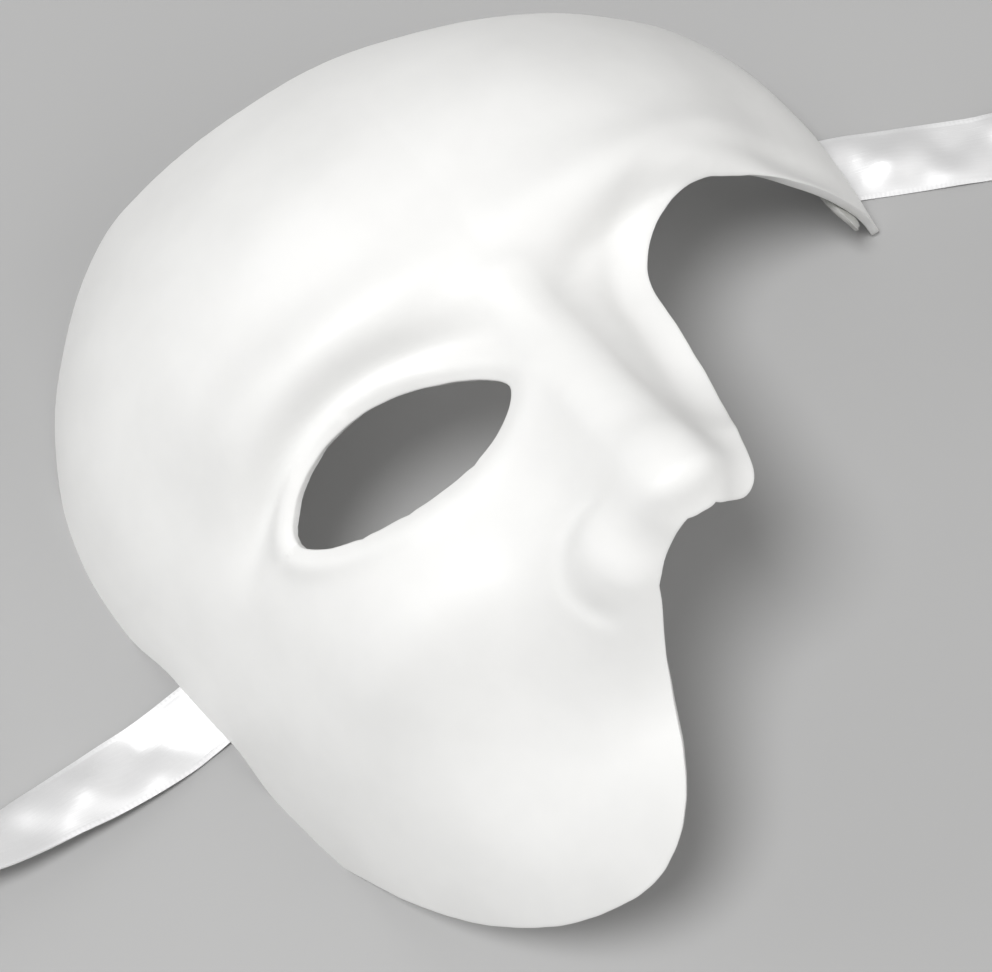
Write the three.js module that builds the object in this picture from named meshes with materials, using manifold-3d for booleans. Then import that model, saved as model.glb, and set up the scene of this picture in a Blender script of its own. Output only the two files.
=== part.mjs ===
// One-eyed half mask of thin moulded plastic with two satin ribbons, lying face up on its rim
// Millimetres. +Z up off the table, +Y to the crown, +X to the wearer's left, origin below the middle

import * as THREE from 'three';
import { mergeVertices } from 'three/addons/utils/BufferGeometryUtils.js';
import Module from 'manifold-3d';

const wasm = await Module();
wasm.setup();

// Moulded sheet, and how far apart the places are that give its slope
const WALL = 1.8;
const NEAR = 0.2;

// Corners closer together than this are one
const WELD = 1e-4;

// The head form: an arc round the head, and how square its front is
const HEAD_RADIUS = 91;
const HEAD_AXIS = -39;
const FRONT_SQUARENESS = 0.9;

// Sections of the head form: height on the face, half width and how high the front stands
const SECTIONS = [
  { y: -102, half: 56, front: 43 },
  { y: -84, half: 67, front: 51 },
  { y: -65, half: 75.5, front: 58 },
  { y: -42, half: 82, front: 62 },
  { y: -18, half: 87, front: 64 },
  { y: 5, half: 91, front: 65 },
  { y: 28, half: 93, front: 68 },
  { y: 46, half: 91, front: 65 },
  { y: 65, half: 84, front: 57 },
  { y: 79, half: 75, front: 47 },
  { y: 93, half: 64, front: 33 },
  { y: 104, half: 52, front: 17 },
];

// Soft rises and hollows of the face: middle, reach to each side and up, and how far they stand out
const FORMS = [
  { name: 'brow', x: 33, y: 23, wide: 25, tall: 8, rise: 4.5 },
  { name: 'eye socket', x: 28, y: 3, wide: 22, tall: 14, rise: -10.5 },
  { name: 'eyeball', x: 34, y: -1, wide: 21, tall: 12, rise: 7.5 },
  { name: 'cheekbone', x: 44, y: -25, wide: 20, tall: 12, rise: 4.5 },
  { name: 'cheek hollow', x: 40, y: -54, wide: 18, tall: 15, rise: -5 },
  { name: 'temple', x: 69, y: 22, wide: 12, tall: 18, rise: -2.5 },
  { name: 'forehead', x: 26, y: 50, wide: 22, tall: 17, rise: 2.5 },
  { name: 'fold beside the nose', x: 22, y: -50, wide: 8, tall: 11, rise: -2 },
];

// Crease above the upper lid, on an oval round the eye
const LID = { x: 34, y: -1, wide: 30, tall: 18, soft: 0.17, fade: 0.7, depth: 2.4 };

// Nose: a ridge that widens to a ball at the tip, and a ball for each wing
const NOSE_ROOT = { y: 15, top: 65, round: 9, slope: 0.9 };
const NOSE_TIP = { y: -36, top: 85.6, round: 8, slope: 1.6 };
const NOSE_BALL = { x: 0, y: -35, top: 83.6, round: 11, slope: 1.5, shorten: 0.9 };
const TIP_SHORTEN = 1.6;
const NOSE_WING = { x: 12, y: -38.5, top: 74.5, round: 8.5, slope: 1.4, shorten: 0.85 };
const ROOT_SHORTEN = 1.5;
const BLEND_ROOT = 14;
const BLEND_LEAD = 12;
const BLEND_TIP = 8;
const BLEND_WING = 7;
const DORSUM_BEND = 1.04;

// Trimmed edge, on the sheet laid flat: arc length round the head, height, and the corner's radius
const TRIM = [
  { s: -121, y: 20, r: 6 },
  { s: -98, y: 91, r: 44 },
  { s: 4, y: 82, r: 84 },
  { s: 87, y: 56, r: 40 },
  { s: 101, y: 32, r: 6 },
  { s: 115, y: 6, r: 3 },
  { s: 27, y: 20, r: 22 },
  { s: 20.5, y: -18.5, r: 37 },
  { s: 14, y: -44, r: 6 },
  { s: -9, y: -43, r: 11 },
  { s: -17.5, y: -56, r: 12 },
  { s: -34, y: -85, r: 34 },
  { s: -88, y: -81, r: 62 },
  { s: -125, y: -20, r: 30 },
];

// The rim is cut a little higher where the right ribbon passes under it
const RELIEF = {
  y: -3,
  flat: 17,
  run: 14,
  ease: 7,
  height: 3.2,
  outer: -110,
  inner: -70,
  below: -10,
  curve: 8,
};

// The rim is cut off level with the table, which reaches past the blank all round
const TABLE = { across: 400, deep: 80 };

// Dabs of hot-melt glue on the inside of the sheet
const GLUE = { thick: 2, gap: 0.3, edge: 0.2, around: 18, rings: 8 };
const GLUE_PADS = [
  { name: 'glue_pad_right', s: -101, y: -3, wide: 7, tall: 11 },
  { name: 'glue_pad_left', s: 97, y: 20, wide: 6.5, tall: 12 },
];

// Satin ribbons: width across, and the places of the middle line with its turn about itself, in degrees
const RIBBON = { width: 15, thick: 0.8, steps: 36 };
const RIBBONS = [
  {
    name: 'ribbon_right',
    route: [
      { x: -73.4, y: -1.7, z: 14, turn: 0 },
      { x: -75.4, y: -2, z: 10.2, turn: 0 },
      { x: -77.1, y: -2.3, z: 6.6, turn: 0 },
      { x: -79.3, y: -2.6, z: 3.3, turn: 0 },
      { x: -82.6, y: -3.1, z: 1.4, turn: 0 },
      { x: -86.5, y: -3.5, z: 0.7, turn: 0 },
      { x: -91, y: -4, z: 0.6, turn: 0 },
      { x: -96, y: -4.3, z: 0.9, turn: 3 },
      { x: -104, y: -4.4, z: 1.7, turn: 9 },
      { x: -113, y: -4.2, z: 3, turn: 19 },
      { x: -122.1, y: -3.9, z: 4.1, turn: 28 },
      { x: -131.1, y: -3.5, z: 5.2, turn: 38 },
      { x: -140.2, y: -3.1, z: 6.3, turn: 50 },
      { x: -149.3, y: -2.8, z: 7.3, turn: 65 },
      { x: -157.3, y: -2.7, z: 7.9, turn: 80 },
      { x: -162.3, y: -2.6, z: 8, turn: 88 },
      { x: -165.9, y: -2.5, z: 8, turn: 90 },
    ],
    coil: { x: -174.1, y: 36.5 },
  },
  {
    name: 'ribbon_left',
    route: [
      { x: 72.6, y: 24, z: 19.3, turn: 0 },
      { x: 75.2, y: 24, z: 15.2, turn: 0 },
      { x: 77.4, y: 24, z: 11.2, turn: 0 },
      { x: 79.6, y: 24, z: 7.2, turn: 0 },
      { x: 82.3, y: 23.8, z: 3.7, turn: 0 },
      { x: 85.6, y: 23.2, z: 1.6, turn: 0 },
      { x: 89.5, y: 22, z: 0.8, turn: 0 },
      { x: 94, y: 20.1, z: 0.6, turn: 0 },
      { x: 99.9, y: 17.4, z: 0.6, turn: 0 },
      { x: 107.8, y: 13.8, z: 0.6, turn: 0 },
      { x: 115.7, y: 10.2, z: 0.6, turn: 0 },
      { x: 123.7, y: 6.6, z: 1.1, turn: 5 },
      { x: 131.6, y: 3, z: 2.7, turn: 17 },
      { x: 139.5, y: -0.6, z: 4.9, turn: 36 },
      { x: 146.4, y: -3.8, z: 6.9, turn: 59 },
      { x: 152.3, y: -6.5, z: 7.9, turn: 79 },
      { x: 156.3, y: -8.3, z: 8, turn: 87 },
      { x: 159.6, y: -9.8, z: 8, turn: 90 },
    ],
    coil: { x: 151.6, y: -48.7 },
  },
];

// Outer shape of the ribbon's coiled length, standing on its edge
const COIL = { inner: 28, outer: 39.2, low: 0.4, high: 15.6, sides: 40 };

// Eye hole, on the same flat sheet
const EYE = { s: -35, y: 0, half: 24, upper: 12, lower: 9, tilt: 0.06, point: 0.25, steps: 14 };

// Blank before bending: cells grow from the nose outwards
const BLANK = { reach: 126, low: -92, middle: -25, high: 100, columns: 56, rows: 46, crowd: 0.5, crown: 6 };

// Cutter for the trimmed edge: deeper than the crowned blank, with each corner in short steps
const CUTTER = { deep: 60, corner: 14 };

// Brings the middle of the shell's outline onto the part's origin
const PLACE = { x: 0.65, y: -2.29 };

const PLASTIC = new THREE.MeshStandardMaterial({ color: 0xf4f4f2, roughness: 0.55, metalness: 0 });
const GLUE_RESIN = new THREE.MeshStandardMaterial({ color: 0xe9e6dc, roughness: 0.3, metalness: 0 });
const SATIN = new THREE.MeshStandardMaterial({ color: 0xf1f1f3, roughness: 0.35, metalness: 0 });

// A smooth value between the sections, by cubic steps
function section(key, y) {
  const last = SECTIONS.length - 2;
  let i = 0;
  while (i < last && y > SECTIONS[i + 1].y) i += 1;
  const at = (n) => SECTIONS[Math.min(Math.max(n, 0), last + 1)];
  const slope = (n) => (at(n + 1)[key] - at(n - 1)[key]) / (at(n + 1).y - at(n - 1).y);
  const span = at(i + 1).y - at(i).y;
  const t = (y - at(i).y) / span;
  const start = at(i)[key] * (1 - 3 * t * t + 2 * t * t * t) + slope(i) * span * t * (1 - t) * (1 - t);
  return start + at(i + 1)[key] * (3 * t * t - 2 * t * t * t) + slope(i + 1) * span * t * t * (t - 1);
}

// The higher of two surfaces, with a rounded valley between them
function blend(a, b, radius) {
  const near = Math.max(radius - Math.abs(a - b), 0) / radius;
  return Math.max(a, b) + near * near * radius * 0.25;
}

// Height of a round top that runs on as a straight slope
function roundedCone(distance, round, slope) {
  const angle = Math.atan(slope);
  const shoulder = round * Math.sin(angle);
  if (distance < shoulder) return Math.sqrt(round * round - distance * distance) - round;
  return round * Math.cos(angle) - round - slope * (distance - shoulder);
}

// Height of a rounded knob, the same on both sides of the face
function knob(form, x, y) {
  const aside = Math.hypot(Math.abs(x) - form.x, (y - form.y) * form.shorten);
  return form.top + roundedCone(aside, form.round, form.slope);
}

function noseHeight(x, y) {
  const along = THREE.MathUtils.clamp((NOSE_ROOT.y - y) / (NOSE_ROOT.y - NOSE_TIP.y), 0, 1);
  const mix = (key) => THREE.MathUtils.lerp(NOSE_ROOT[key], NOSE_TIP[key], along);
  const top = THREE.MathUtils.lerp(NOSE_ROOT.top, NOSE_TIP.top, along ** DORSUM_BEND);
  const past = Math.max(NOSE_TIP.y - y, 0) * TIP_SHORTEN + Math.max(y - NOSE_ROOT.y, 0) * ROOT_SHORTEN;
  const ridge = top + roundedCone(Math.hypot(x, past), mix('round'), mix('slope'));
  const tip = blend(ridge, knob(NOSE_BALL, x, y), BLEND_WING);
  return blend(tip, knob(NOSE_WING, x, y), BLEND_WING);
}

// Depth of the crease over the eye, none below it
function lidCrease(x, y) {
  const across = (Math.abs(x) - LID.x) / LID.wide;
  const up = (y - LID.y) / LID.tall;
  const off = (Math.hypot(across, up) - 1) / LID.soft;
  return LID.depth * THREE.MathUtils.smoothstep(up, 0, LID.fade) * Math.exp(-off * off);
}

// Point of the outer face for a place on the flat sheet
function facePoint(s, y) {
  const turn = s / HEAD_RADIUS;
  const half = section('half', y);
  const depth = section('front', y) - HEAD_AXIS;
  const forward = Math.sign(Math.cos(turn)) * Math.abs(Math.cos(turn)) ** FRONT_SQUARENESS;
  const flat = half * Math.sin(turn);
  let rise = -lidCrease(flat, y);
  for (const form of FORMS) {
    const across = (Math.abs(flat) - form.x) / form.wide;
    const up = (y - form.y) / form.tall;
    rise += form.rise * Math.exp(-across * across - up * up);
  }
  const x = flat + rise * Math.sin(turn);
  const z = HEAD_AXIS + depth * forward + rise * Math.cos(turn);
  const lead = NOSE_ROOT.y + BLEND_LEAD;
  const along = THREE.MathUtils.clamp((lead - y) / (lead - NOSE_TIP.y), 0, 1);
  const radius = THREE.MathUtils.lerp(BLEND_ROOT, BLEND_TIP, along);
  return new THREE.Vector3(x, y, blend(z, noseHeight(flat, y), radius));
}

// Point at a depth inside the sheet, square to the outer face
function sheetPoint(s, y, depth) {
  const across = facePoint(s + NEAR, y).sub(facePoint(s - NEAR, y));
  const up = facePoint(s, y + NEAR).sub(facePoint(s, y - NEAR));
  return facePoint(s, y).addScaledVector(across.cross(up).normalize(), depth);
}

// Closed shape from corners that each carry their own radius
function roundedShape(corners) {
  const shape = new THREE.Shape();
  corners.forEach((corner, i) => {
    const before = corners[(i + corners.length - 1) % corners.length];
    const after = corners[(i + 1) % corners.length];
    const here = new THREE.Vector2(corner.s, corner.y);
    const back = new THREE.Vector2(before.s, before.y).sub(here).normalize();
    const on = new THREE.Vector2(after.s, after.y).sub(here).normalize();
    const half = Math.acos(THREE.MathUtils.clamp(back.dot(on), -1, 1)) / 2;
    const reach = corner.r / Math.tan(half);
    const start = here.clone().addScaledVector(back, reach);
    const end = here.clone().addScaledVector(on, reach);
    const middle = back.clone().add(on).normalize().multiplyScalar(corner.r / Math.sin(half)).add(here);
    const clockwise = back.cross(on) > 0;
    const from = Math.atan2(start.y - middle.y, start.x - middle.x);
    const to = Math.atan2(end.y - middle.y, end.x - middle.x);
    shape.absarc(middle.x, middle.y, corner.r, from, to, clockwise);
  });
  return shape;
}

// Almond outline with two pointed corners
function eyeOutline() {
  const points = [];
  for (let i = 0; i < 2 * EYE.steps; i += 1) {
    const angle = (i / EYE.steps) * Math.PI;
    const rise = Math.sin(angle) > 0 ? EYE.upper : EYE.lower;
    const along = EYE.half * Math.cos(angle);
    const up = rise * Math.sin(angle) * Math.abs(Math.sin(angle)) ** EYE.point;
    points.push(new THREE.Vector2(EYE.s + along, EYE.y + up - along * EYE.tilt));
  }
  return new THREE.Path(points);
}

function toSolid(geometry) {
  const bare = geometry.clone();
  bare.deleteAttribute('normal');
  bare.deleteAttribute('uv');
  const merged = mergeVertices(bare, WELD);
  const vertProperties = new Float32Array(merged.attributes.position.array);
  const triVerts = new Uint32Array(merged.index.array);
  return new wasm.Manifold(new wasm.Mesh({ numProp: 3, vertProperties, triVerts }));
}

function toGeometry(solid) {
  const mesh = solid.getMesh();
  const geometry = new THREE.BufferGeometry();
  geometry.setAttribute('position', new THREE.BufferAttribute(new Float32Array(mesh.vertProperties), 3));
  geometry.setIndex(new THREE.BufferAttribute(new Uint32Array(mesh.triVerts), 1));
  return geometry;
}

// Moves every vertex of a geometry by a function of its place
function moveVertices(geometry, move) {
  const position = geometry.attributes.position;
  const point = new THREE.Vector3();
  for (let i = 0; i < position.count; i += 1) {
    point.fromBufferAttribute(position, i);
    const moved = move(point);
    position.setXYZ(i, moved.x, moved.y, moved.z);
  }
  return geometry;
}

// The crown keeps the flat cells from being taken for one plane while the edge is cut
function crownAt(s, y) {
  return BLANK.crown * ((s / BLANK.reach) ** 2 + (y / BLANK.high) ** 2);
}

function crowded(t) {
  return t * (1 - BLANK.crowd) + BLANK.crowd * t * t * t;
}

function blankSheet() {
  const box = new THREE.BoxGeometry(2, 2, WALL, BLANK.columns, BLANK.rows, 1);
  return moveVertices(box, (p) => {
    const s = BLANK.reach * crowded(p.x);
    const half = p.y > 0 ? BLANK.high - BLANK.middle : BLANK.middle - BLANK.low;
    const y = BLANK.middle + half * crowded(p.y);
    return new THREE.Vector3(s, y, p.z - WALL / 2 + crownAt(s, y));
  });
}

// What is cut away under the rim: all below the table, and the low relief over the right ribbon
function underRim() {
  const table = new THREE.BoxGeometry(TABLE.across, TABLE.across, TABLE.deep);
  table.translate(0, 0, -TABLE.deep / 2);
  const { ease, height, below, curve } = RELIEF;
  const start = RELIEF.flat / 2;
  const end = start + RELIEF.run;
  const profile = new THREE.Shape();
  profile.moveTo(-end, 0);
  profile.bezierCurveTo(-end + ease, 0, -start - ease, height, -start, height);
  profile.lineTo(start, height);
  profile.bezierCurveTo(start + ease, height, end - ease, 0, end, 0);
  profile.lineTo(end, below);
  profile.lineTo(-end, below);
  const depth = RELIEF.inner - RELIEF.outer;
  const relief = new THREE.ExtrudeGeometry(profile, { depth, bevelEnabled: false, curveSegments: curve });
  relief.rotateX(Math.PI / 2);
  relief.rotateZ(Math.PI / 2);
  relief.translate(RELIEF.outer, RELIEF.y, 0);
  return toSolid(table).add(toSolid(relief));
}

function maskShell() {
  const outline = roundedShape(TRIM);
  outline.holes.push(eyeOutline());
  const settings = { depth: CUTTER.deep, bevelEnabled: false, curveSegments: CUTTER.corner };
  const cutter = new THREE.ExtrudeGeometry(outline, settings);
  cutter.translate(0, 0, -CUTTER.deep / 2);
  const flat = toSolid(blankSheet()).intersect(toSolid(cutter));
  const bent = moveVertices(toGeometry(flat), (p) => sheetPoint(p.x, p.y, p.z - crownAt(p.x, p.y)));
  return toGeometry(toSolid(bent).subtract(underRim()));
}

// A dab that follows the inner wall: flat towards it, domed away from it
function gluePad(pad) {
  const ball = new THREE.SphereGeometry(1, GLUE.around, GLUE.rings);
  ball.deleteAttribute('normal');
  ball.deleteAttribute('uv');
  return moveVertices(mergeVertices(ball, WELD), (p) => {
    const half = p.z > 0 ? GLUE.thick - GLUE.edge : GLUE.edge;
    const depth = WALL + GLUE.gap + GLUE.edge + half * p.z;
    return sheetPoint(pad.s - pad.wide * p.x, pad.y + pad.tall * p.y, -depth);
  });
}

// The ribbon is a long flat box, bent along its route and turned about its middle line
function ribbonRun(route) {
  const middle = new THREE.CatmullRomCurve3(route.map((p) => new THREE.Vector3(p.x, p.y, p.z)));
  const turns = new THREE.CatmullRomCurve3(route.map((p) => new THREE.Vector3(p.turn, 0, 0)));
  const strip = new THREE.BoxGeometry(1, RIBBON.width, RIBBON.thick, RIBBON.steps, 1, 1);
  return moveVertices(strip, (p) => {
    const t = THREE.MathUtils.clamp(p.x + 0.5, 0, 1);
    const along = middle.getTangent(t);
    const level = new THREE.Vector3(-along.y, along.x, 0).normalize();
    const turn = THREE.MathUtils.degToRad(turns.getPoint(t).x);
    const across = level.applyAxisAngle(along, turn);
    const out = new THREE.Vector3().crossVectors(along, across);
    return middle.getPoint(t).addScaledVector(across, p.y).addScaledVector(out, p.z);
  });
}

function ribbonCoil(coil) {
  const profile = [
    new THREE.Vector2(COIL.inner, COIL.low),
    new THREE.Vector2(COIL.outer, COIL.low),
    new THREE.Vector2(COIL.outer, COIL.high),
    new THREE.Vector2(COIL.inner, COIL.high),
    new THREE.Vector2(COIL.inner, COIL.low),
  ];
  const ring = new THREE.LatheGeometry(profile, COIL.sides);
  ring.rotateX(Math.PI / 2);
  ring.translate(coil.x, coil.y, 0);
  return ring;
}

function named(name, geometry, material) {
  const mesh = new THREE.Mesh(geometry, material);
  mesh.name = name;
  return mesh;
}

const mask = new THREE.Group();
mask.position.set(PLACE.x, PLACE.y, 0);
mask.add(named('mask_shell', maskShell(), PLASTIC));
for (const pad of GLUE_PADS) mask.add(named(pad.name, gluePad(pad), GLUE_RESIN));
for (const ribbon of RIBBONS) {
  mask.add(named(`${ribbon.name}_run`, ribbonRun(ribbon.route), SATIN));
  mask.add(named(`${ribbon.name}_coil`, ribbonCoil(ribbon.coil), SATIN));
}

export default mask;
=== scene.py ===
"""One-eyed half mask of thin moulded plastic with two satin ribbons, lying face up on its rim.

The tables of sizes are in millimetres on the face's own middle line and eye line, as in the part's source.
Everything in Blender is in metres.
"""

import math

import bpy
import numpy as np
from mathutils import Euler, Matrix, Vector
from mathutils.geometry import delaunay_2d_cdt


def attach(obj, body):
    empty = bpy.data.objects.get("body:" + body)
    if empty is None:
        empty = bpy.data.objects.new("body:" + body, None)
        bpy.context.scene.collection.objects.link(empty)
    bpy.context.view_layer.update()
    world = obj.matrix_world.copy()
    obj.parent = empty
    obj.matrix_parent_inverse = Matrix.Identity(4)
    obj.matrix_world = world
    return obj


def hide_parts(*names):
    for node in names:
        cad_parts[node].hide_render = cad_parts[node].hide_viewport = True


bl_info = {
    "name": "Half Mask with Ribbons",
    "version": (1, 0, 0),
    "blender": (4, 5, 0),
    "location": "View3D > Sidebar > Half Mask",
    "description": "Builds a moulded half mask with satin ribbons around its solid frame",
    "category": "Add Mesh",
}

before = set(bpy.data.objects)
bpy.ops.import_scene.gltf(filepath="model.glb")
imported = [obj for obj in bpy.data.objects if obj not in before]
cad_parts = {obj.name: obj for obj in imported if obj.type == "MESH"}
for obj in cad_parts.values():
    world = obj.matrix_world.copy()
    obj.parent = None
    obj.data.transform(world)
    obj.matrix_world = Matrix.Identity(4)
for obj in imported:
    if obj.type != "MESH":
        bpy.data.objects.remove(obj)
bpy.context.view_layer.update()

MM = 0.001

# From the face's middle line and eye line to the frame's origin
PLACE = np.array([0.65, -2.29, 0.0])

# Head form that the sheet is bent over: the radius and the height of the axis that it is rolled round, how
# square the front is, and the half width and the front's height at each section
HEAD_RADIUS = 91.0
HEAD_AXIS = -39.0
FRONT_SQUARENESS = 0.9
SECTIONS = {
    "y": (-102, -84, -65, -42, -18, 5, 28, 46, 65, 79, 93, 104),
    "half": (56, 67, 75.5, 82, 87, 91, 93, 91, 84, 75, 64, 52),
    "front": (43, 51, 58, 62, 64, 65, 68, 65, 57, 47, 33, 17),
}

# Soft rises and hollows: x, y, reach to each side, reach up and down, how far they stand out
FORMS = {
    "brow": (33, 23, 25, 8, 4.5),
    "eye socket": (28, 3, 22, 14, -10.5),
    "eyeball": (34, -1, 21, 12, 7.5),
    "cheekbone": (44, -25, 20, 12, 4.5),
    "cheek hollow": (40, -54, 18, 15, -5),
    "temple": (69, 22, 12, 18, -2.5),
    "forehead": (26, 50, 22, 17, 2.5),
    "fold beside the nose": (22, -50, 8, 11, -2),
}

# Creases that follow an oval: its middle and half sizes, the crease's softness and depth, and how far it
# takes to set in, going up over the eye, and going out to the cheek and up at the wing of the nose
WING_CREASE = {
    "x": 12.5, "y": -39.5, "wide": 10, "tall": 10, "soft": 0.16, "depth": 1.0, "set_in": 0.7, "lean": 0.6,
}
LID = {
    "x": 34, "y": -1, "wide": 30, "tall": 18, "soft": 0.17, "depth": 2.4, "set_in": 0.7,
    "fold": 0.35, "fold_soft": 0.6,
}

# Nose: a ridge from the root to the tip, a ball at the tip and a wing to each side
NOSE_ROOT = {"y": 15, "top": 65, "round": 9, "slope": 0.9}
NOSE_TIP = {"y": -36, "top": 85.6, "round": 8, "slope": 1.6}
NOSE_BALL = {"x": 0, "y": -35, "top": 83.6, "round": 11, "slope": 1.5, "shorten": 0.9}
NOSE_WING = {"x": 12, "y": -38.5, "top": 74.5, "round": 8.5, "slope": 1.4, "shorten": 0.85}
TIP_SHORTEN = 1.6
ROOT_SHORTEN = 1.5
BLEND_ROOT = 14
BLEND_LEAD = 12
BLEND_TIP = 8
BLEND_WING = 7
DORSUM_BEND = 1.04

# Trimmed edge on the sheet laid flat: arc length round the head, height and radius of each corner. Then the
# points on each corner's arc, and the distance between the points of the cut line
TRIM = (
    (-121, 20, 6), (-98, 91, 44), (4, 82, 84), (87, 56, 40), (101, 32, 6), (115, 6, 3), (27, 20, 22),
    (20.5, -18.5, 37), (14, -44, 6), (-9, -43, 11), (-17.5, -56, 12), (-34, -85, 34), (-88, -81, 62),
    (-125, -20, 30),
)
CORNER_POINTS = 40
TRIM_STEP = 0.9

# Eye hole on the flat sheet: its middle, half its length, its height above and below, its tilt, how pointed
# its corners are, the points on each half and the distance between the points of the cut line
EYE = {
    "s": -35, "y": 0, "half": 24, "upper": 12, "lower": 9, "tilt": 0.06, "point": 0.25, "points": 400,
    "step": 0.8,
}

# Unevenness of the hand-cut edge: length of a wave, its share of the wobble and its start. The eye hole has
# less of it, by the share below
CUT_WAVES = ((46, 1, 0.7), (21, 0.7, 2.4), (9.5, 0.5, 1.1), (5.2, 0.35, 0.2))
EYE_WOBBLE = 0.6

# Where the knife slipped: s, y, how deep and how wide the nick is. A cut line further off has none of it
NICKS = (
    (3.5, -43.2, 0.4, 0.8), (-2.5, -42.8, 0.25, 0.9), (-12.2, -47.6, 0.3, 1), (-24, -7.9, 0.22, 0.8),
    (-38.5, -9.2, 0.2, 0.9), (-47.5, -7.4, 0.24, 0.8),
)
NICK_OFF = 1.5

# Up to this far from the cut edge the sheet is rougher with saw marks, and greyer with painted shade; its
# corners sharper than the next angle are eased, and a finished piece is shaded smooth up to the last one
EDGE_SHADE_AND_ROUGHNESS = 0.35
SHARP = math.radians(60)
SMOOTH = math.radians(40)

# Fold that runs on from the outer corner of the eye hole, and the rolled band round the hole
FOLD = {"from": (-59, 1.4), "to": (-65, 0.6), "deep": 0.55, "wide": 0.75, "fade": 5, "start": 1}
BAND = {"off": 3, "reach": 2.6, "rise": 0.8, "turn": 1.5, "drop": 0.6}

# Where the sheet lifts to a lip with a groove behind it: the arch under the brow strip and the nose's side
LIP = {
    "left": 17, "top": 21, "right": 97, "low": -44, "fade": 22, "wide": 2.3, "groove": 6.5, "groove_wide": 3,
}

# Rows of mesh points along the cut edge, by how far each lies behind the one before. Then the gap from them
# to the even grid, as a share of its cells, and how close to the cut line a point counts as on it
EDGE_ROWS = (0.65, 0.7, 0.8)
GRID_GAP = 0.6
ON_LINE = 1e-3

# A corner of the sheet this close to the table counts as on it, and is set level with it. An edge shorter
# than this share of the cut edge's rounding is dropped
ON_TABLE = 0.1
TINY = 1 / 12

# The rim stands a little higher where the right ribbon passes under it
RELIEF = {"y": -3, "flat": 17, "run": 14, "height": 3.2, "blend": 14, "lean": 0.3, "inner": -60}

# Ribbons: x, y, z of the middle line and the turn about it in degrees, then the middle of the coil
ROUTE_RIGHT = (
    (-73.4, -1.7, 14, 0), (-75.4, -2, 10.2, 0), (-77.1, -2.3, 6.6, 0), (-79.3, -2.6, 3.3, 0),
    (-82.6, -3.1, 1.4, 0), (-86.5, -3.5, 0.7, 0), (-91, -4, 0.6, 0), (-96, -4.3, 0.9, 3),
    (-104, -4.4, 1.7, 9), (-113, -4.2, 3, 19), (-122.1, -3.9, 4.1, 28), (-131.1, -3.5, 5.2, 38),
    (-140.2, -3.1, 6.3, 50), (-149.3, -2.8, 7.3, 65), (-157.3, -2.7, 7.9, 80),
    (-162.3, -2.6, 8, 88),
)
COIL_RIGHT = (-174.1, 36.5)
ROUTE_LEFT = (
    (72.6, 24, 19.3, 0), (75.2, 24, 15.2, 0), (77.4, 24, 11.2, 0), (79.6, 24, 7.2, 0),
    (82.3, 23.8, 3.7, 0), (85.6, 23.2, 1.6, 0), (89.5, 22, 0.8, 0), (94, 20.1, 0.6, 0),
    (99.9, 17.4, 0.6, 0), (107.8, 13.8, 0.6, 0), (115.7, 10.2, 0.6, 0), (123.7, 6.6, 1.1, 5),
    (131.6, 3, 2.7, 17), (139.5, -0.6, 4.9, 36), (146.4, -3.8, 6.9, 59), (152.3, -6.5, 7.9, 79),
    (156.3, -8.3, 8, 87),
)
COIL_LEFT = (151.6, -48.7)

# Each ribbon's piece and node, its route and coil, the start of its creases, and the point of its route where
# it leaves the mask
RIBBONS = (
    ("satin_ribbon_right", "ribbon_right", ROUTE_RIGHT, COIL_RIGHT, 0.3, 4),
    ("satin_ribbon_left", "ribbon_left", ROUTE_LEFT, COIL_LEFT, 1.9, 5),
)

# Coil: its outer radius, how much a turn narrows, the height of its middle, its turns, and the degrees
# between its points. Then the steps along a route and along the ribbon, and the cells across it
COIL = {"start": 38.5, "pitch": 6.0, "height": 8.0, "turns": 1.45, "step": 7.5}
ROUTE_STEP = 0.2
CLOTH_STEP = 0.8
STRANDS = 14

# A ribbon is stiff up to the rim, loose beyond it, and calmer again towards its coil and its end
LOOSE = {"from": 14, "over": 12, "end": 30, "coil": 75, "coil_over": 40, "calm": 0.6}

# Soft creases: height, rate along and across, and start, first by the ribbon's side and then fixed. They
# stand up more than they sink, and turn over towards the ribbon's edges
CREASES = ((1, 0.17, 3.2, 1, 0), (0.6, 0.31, -4.6, 1.7, 0), (0.16, 0.62, 6, 0, 0.4))
CREASE_LIFT = 0.9
CREASE_EDGE = 3.4

# The ribbon also cups, its end is cut at a slant, and its middle surface lies no lower than this
CUP = {"deep": 2.2, "level": 0.08, "wave": 0.07}
SLANT = {"long": 12, "skew": 9}
LOWEST = 0.25

# Selvedge of the satin: how far inside the ribbon's edge it starts and is full, in metres, and its ribs
SELVEDGE = {"start": 0.0011, "full": 0.0006, "ribs": 320}

# Glue between a ribbon's end and the inner wall: each dab's piece and node, then its s and y, its reach along
# them, and the way it was squeezed. A dab starts a gap below the inner wall. It has a rim, a thick and full
# lumpy back, and a tongue to one side
GLUE = (
    ("glue_dab_right", "glue_pad_right", (-101, -3, 7, 11, math.radians(-50))),
    ("glue_dab_left", "glue_pad_left", (97, 20, 6.5, 12, math.radians(-75))),
)
DAB = {
    "gap": 0.45, "rim": 0.5, "thick": 1.8, "full": 0.6, "lumps": 0.45, "uneven": 0.08,
    "tongue": 0.24, "spread": 1.3,
}
LUMPS = {"scale": 3.1, "fine": 4.7, "share": 0.25}

# Soft lights: name, place and diameter in metres, share of the main light's power, and tint
LIGHTS = (
    ("key_light", (-0.26, -0.02, 0.98), 0.34, 1, (1, 1, 1)),
    ("fill_light", (0.9, -0.7, 0.75), 1.1, 0.75, (1, 0.99, 0.98)),
    ("rim_light", (-0.95, 0.75, 0.6), 0.9, 0.4, (1, 1, 1)),
)

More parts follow.
